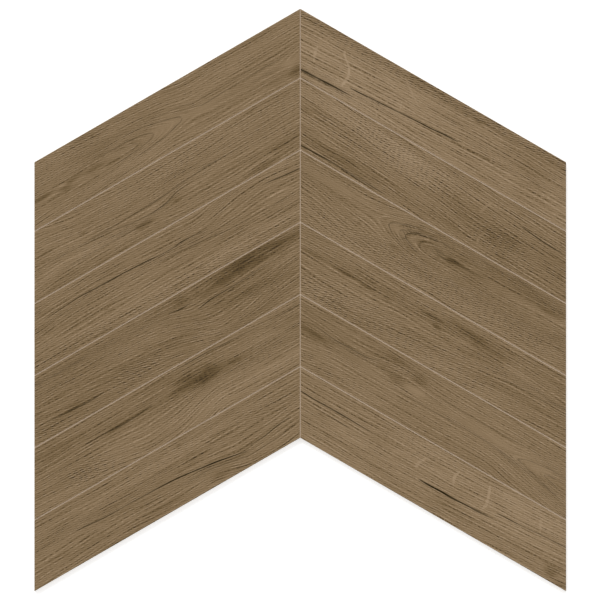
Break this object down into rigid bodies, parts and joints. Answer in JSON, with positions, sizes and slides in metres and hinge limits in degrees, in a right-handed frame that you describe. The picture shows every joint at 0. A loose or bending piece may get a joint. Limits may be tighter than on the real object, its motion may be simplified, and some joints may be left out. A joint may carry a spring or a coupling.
{
  "type": "chevron porcelain tile",
  "caption": "Chevron-shaped wood-look porcelain floor tile, fired as one piece, with scored joints between its strips and a keyed back that beds in adhesive.",
  "frame": {"origin": "centre of the bounding box in plan, on the plane of the back that the tile lies on", "axes": "+Z out of the printed face, +Y along the spine towards the apex, +X towards the right wing as seen from the face"},
  "size_m": [0.6, 0.6574, 0.0095],
  "materials": {
    "porcelain": "matte"
  },
  "bodies": {
    "root": {"chevron_tile": "porcelain"}
  },
  "joints": []
}
